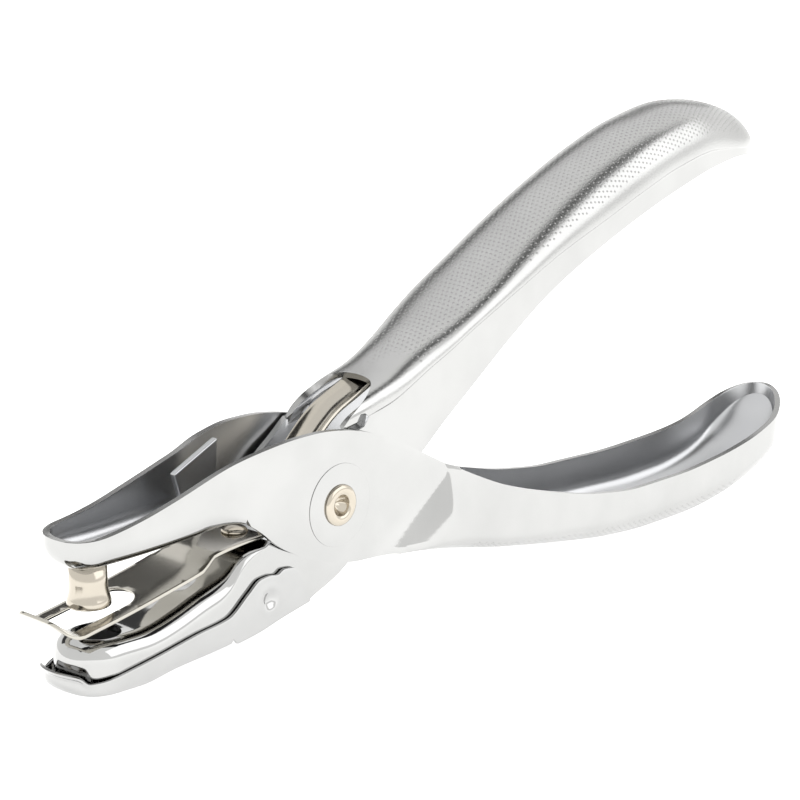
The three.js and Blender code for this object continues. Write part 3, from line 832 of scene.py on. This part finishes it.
def build_pads():
    """Round pressed pads under the rivet's heads."""
    pads = []
    for side in (-1, 1):
        pad = cylinder(PAD_R, 0.3, (0, side * (RIVET_FACE - 0.13), 0), sides=128)
        pad.data.materials.append(CHROME)
        pad.data.materials.append(EDGE_SHADE_CHROME)
        # The pad's sides take the darker edge finish: a painted shade line round each pad.
        for face in pad.data.polygons:
            face.material_index = int(abs(face.normal.y) < 0.5)
        cut(pad, [cylinder(RIVET_HOLE_R, 2, (0, side * RIVET_FACE, 0))])
        round_edges(pad, 0.04, 2)
        pads.append(pad)
    return pads


def build_dots(name, section, start, end, share, rise):
    """Staggered embossed dots over a palm face."""
    mesh = bmesh.new()
    xs = np.arange(start, end, DOT_PITCH * 0.86)
    for i, x in enumerate(xs):
        profile = np.array(section(x))[FOLD_STEPS:]
        ahead = np.array(section(x + 0.2))[FOLD_STEPS:]
        length = np.concatenate([[0], np.cumsum(np.linalg.norm(np.diff(profile, axis=0), axis=1))])
        full = length[-1]
        offsets = np.arange(0 if i % 2 else DOT_PITCH / 2, full * share, DOT_PITCH)
        for offset in offsets:
            at, next_at = full - offset, full - offset - 0.1
            point = Vector([np.interp(at, length, profile[:, k]) for k in range(3)])
            beside = Vector([np.interp(next_at, length, profile[:, k]) for k in range(3)])
            forward = Vector([np.interp(at, length, ahead[:, k]) for k in range(3)]) - point
            for side in ((1, -1) if offset else (1,)):
                flip = Vector((1, side, 1))
                p, u = point * flip, (beside - point) * flip
                v = forward * flip
                n = u.cross(v).normalized()
                if n.dot(p - Vector((p.x, 0, p.z - 8 * math.copysign(1, section(x)[-1][2])))) < 0:
                    n = -n
                u = v.cross(n).normalized()
                v = n.cross(u)
                ring = []
                for k in range(DOT_SIDES):
                    a = 2 * math.pi * k / DOT_SIDES
                    out = u * math.cos(a) + v * math.sin(a)
                    ring.append(mesh.verts.new(in_frame(p + out * DOT_R)))
                top = mesh.verts.new(in_frame(p + n * rise))
                base = mesh.verts.new(in_frame(p - n * rise))
                for here, after in zip(ring, ring[1:] + ring[:1]):
                    mesh.faces.new((here, after, top))
                    mesh.faces.new((after, here, base))
    dots = finish_mesh(name, mesh)
    dots.data.shade_smooth()
    return dots


# ---- pieces on their bodies -----------------------------------------------------------------


def mask_palm(thing, inside_palm):
    """Marks the textured palm face on a mesh."""
    mask = thing.data.attributes.new("palm", "FLOAT", "POINT")
    for vertex in thing.data.vertices:
        p = (vertex.co - PIVOT) / MM
        mask.data[vertex.index].value = inside_palm(p.x, p.z)


def add(piece, finish, body, slot, *nodes):
    """Gives a piece its material and body, and the CAD nodes that it stands for."""
    if not piece.data.materials:
        piece.data.materials.append(finish)
    if body:
        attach(piece, body)
    if nodes:
        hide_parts(*nodes)


outer = build_outer_lever()
cut(outer, [cylinder(RIVET_HOLE_R, 40, (0, 0, 0)), cylinder(PIN_HOLE_R, 8, PIN_HOLE, "Z")])
outer_crease = curve(OUTER_CREASE)
mask_palm(outer, lambda x, z: smooth((x - 14) / 8) * smooth((outer_crease(x) + 0.6 - z) / 1.2))
round_edges(outer, EDGE_ROUND, 3)
add(outer, CHROME, "outer", "lever_chrome", "outer_lever")
add(build_tab(), INNER_CHROME, "outer", "lever_chrome")
for side_name, pad in zip(("near", "far"), build_pads()):
    pad.name = "rivet_pad_" + side_name
    add(pad, CHROME, "outer", "lever_chrome")

inner = build_inner_lever()
cut(inner, [
    cylinder(RIVET_HOLE_R, 40, (0, 0, 0)),
    cylinder(DIE_R, 6, DIE_AT, "Z"),
    cylinder(STUD_HOLE_R, 30, HINGE),
])
inner_crease = curve(INNER_CREASE)
mask_palm(inner, lambda x, z: smooth((x - 5) / 3) * smooth((z - inner_crease(x) + 0.1) / 0.8))
round_edges(inner, EDGE_ROUND, 3)
add(inner, CHROME, "inner", "lever_chrome", "inner_lever")

add(build_pin(), PIN_STEEL, "outer", "punch_steel", "punch_pin")
add(build_pivot_rivet(), NICKEL, "outer", "rivet_nickel", "pivot_rivet")
add(build_strip(), STRIP_NICKEL, "inner", "strip_nickel", "stripper_strip")
add(build_strip_rivet(), NICKEL, "inner", "rivet_nickel", "strip_rivet")
add(build_tray(), TRAY_CHROME, "tray", "tray_chrome", "chip_tray")
spring = build_spring()
add(spring, SPRING_STEEL, None, "spring_steel", "return_spring")
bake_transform(spring)

inner_half, inner_crown, inner_bulge = curve(INNER_HALF), curve(INNER_CROWN), curve(INNER_BULGE)
outer_web = curve(OUTER_WEB, 0.5)
upper_dots = build_dots(
    "upper_grip_dots",
    lambda x: palm_cover((x, inner_half(x), x), inner_crease, inner_crown, inner_bulge, -1),
    *UPPER_DOTS, UPPER_SHARE, UPPER_RISE,
)
add(upper_dots, DOT_CHROME, "inner", "lever_chrome")
lower_dots = build_dots(
    "lower_grip_dots",
    lambda x: palm_cover((x, outer_half(x), x), outer_crease, outer_web, no_bulge, 1),
    *LOWER_DOTS, LOWER_SHARE, LOWER_RISE,
)
add(lower_dots, DOT_CHROME, "outer", "lever_chrome")

# ---- camera, floor and light ----------------------------------------------------------------

CAMERA_AT = (-0.26730, -0.22947, 0.11222)
CAMERA_AZIMUTH = -47.829
CAMERA_ELEVATION = 13.642
CAMERA_ROLL = 2.023


def emission(name, strength):
    """Plain glowing material for a studio card."""
    made = bpy.data.materials.new(name)
    made.use_nodes = True
    made.node_tree.nodes.clear()
    glow = made.node_tree.nodes.new("ShaderNodeEmission")
    glow.inputs["Strength"].default_value = strength
    out = made.node_tree.nodes.new("ShaderNodeOutputMaterial")
    made.node_tree.links.new(glow.outputs["Emission"], out.inputs["Surface"])
    return made


def card(name, azimuth, elevation, width, height, strength, distance=0.9):
    """Studio card that faces the punch; azimuth 0 is +Y and 90 is +X, in degrees."""
    a, e = math.radians(azimuth), math.radians(elevation)
    away = Vector((math.sin(a) * math.cos(e), math.cos(a) * math.cos(e), math.sin(e)))
    mesh = bmesh.new()
    bmesh.ops.create_grid(mesh, x_segments=1, y_segments=1, size=0.5)
    data = bpy.data.meshes.new(name)
    mesh.to_mesh(data)
    mesh.free()
    made = bpy.data.objects.new(name, data)
    bpy.context.scene.collection.objects.link(made)
    made.location = away * distance
    made.rotation_mode = "QUATERNION"
    made.rotation_quaternion = away.to_track_quat("Z", "Y")
    made.scale = (width, height, 1)
    made.data.materials.append(emission(name, strength))
    made.visible_camera = False
    made.visible_diffuse = False
    made.visible_shadow = False
    return made


def add_camera():
    """The photograph's viewing angle."""
    camera = bpy.data.objects.new("camera", bpy.data.cameras.new("camera"))
    bpy.context.scene.collection.objects.link(camera)
    a, e, r = (math.radians(v) for v in (CAMERA_AZIMUTH, CAMERA_ELEVATION, CAMERA_ROLL))
    back = Vector((math.sin(a) * math.cos(e), -math.cos(a) * math.cos(e), math.sin(e)))
    level = Vector((math.cos(a), math.sin(a), 0))
    up = back.cross(level)
    right = level * math.cos(r) + up * math.sin(r)
    top = up * math.cos(r) - level * math.sin(r)
    turn = Matrix((right, top, back)).transposed().to_4x4()
    camera.matrix_world = Matrix.Translation(CAMERA_AT) @ turn
    camera.data.lens = 108
    camera.data.sensor_width = 36
    camera.data.clip_start = 0.01
    bpy.context.scene.camera = camera


def add_floor():
    """Plain pale floor."""
    mesh = bmesh.new()
    bmesh.ops.create_grid(mesh, x_segments=1, y_segments=1, size=2)
    data = bpy.data.meshes.new("floor")
    mesh.to_mesh(data)
    mesh.free()
    floor = bpy.data.objects.new("floor", data)
    bpy.context.scene.collection.objects.link(floor)
    made = bpy.data.materials.new("floor")
    made.use_nodes = True
    shader = made.node_tree.nodes["Principled BSDF"]
    shader.inputs["Base Color"].default_value = (0.5, 0.5, 0.495, 1)
    shader.inputs["Emission Color"].default_value = (1, 1, 1, 1)
    shader.inputs["Emission Strength"].default_value = 0.9
    shader.inputs["Roughness"].default_value = 0.9
    shader.inputs["Specular IOR Level"].default_value = 0.1
    data.materials.append(made)
    floor.location = (1.4, 1.4, 0)


def add_light():
    """Even white room, a soft overhead light and the cards that the chrome mirrors."""
    world = bpy.data.worlds.new("world")
    bpy.context.scene.world = world
    world.use_nodes = True
    world.node_tree.nodes["Background"].inputs["Color"].default_value = (1, 1, 0.99, 1)
    world.node_tree.nodes["Background"].inputs["Strength"].default_value = 1.3
    light = bpy.data.objects.new("overhead", bpy.data.lights.new("overhead", "AREA"))
    bpy.context.scene.collection.objects.link(light)
    light.location = (0, 0, 1.5)
    light.data.size = 6
    light.data.energy = 105
    light.visible_glossy = False
    card("dark_strip", 200, 79, 2.4, 0.3, 0.03)
    card("grey_ceiling", 15, 57, 2.4, 0.56, 1.2)
    card("dark_back", 25, 31, 2.2, 0.34, 0.08, 1.3)
    card("softbox", 152, 32, 1, 0.66, 2.35)


add_camera()
add_floor()
add_light()
bpy.context.scene.view_settings.view_transform = "Standard"
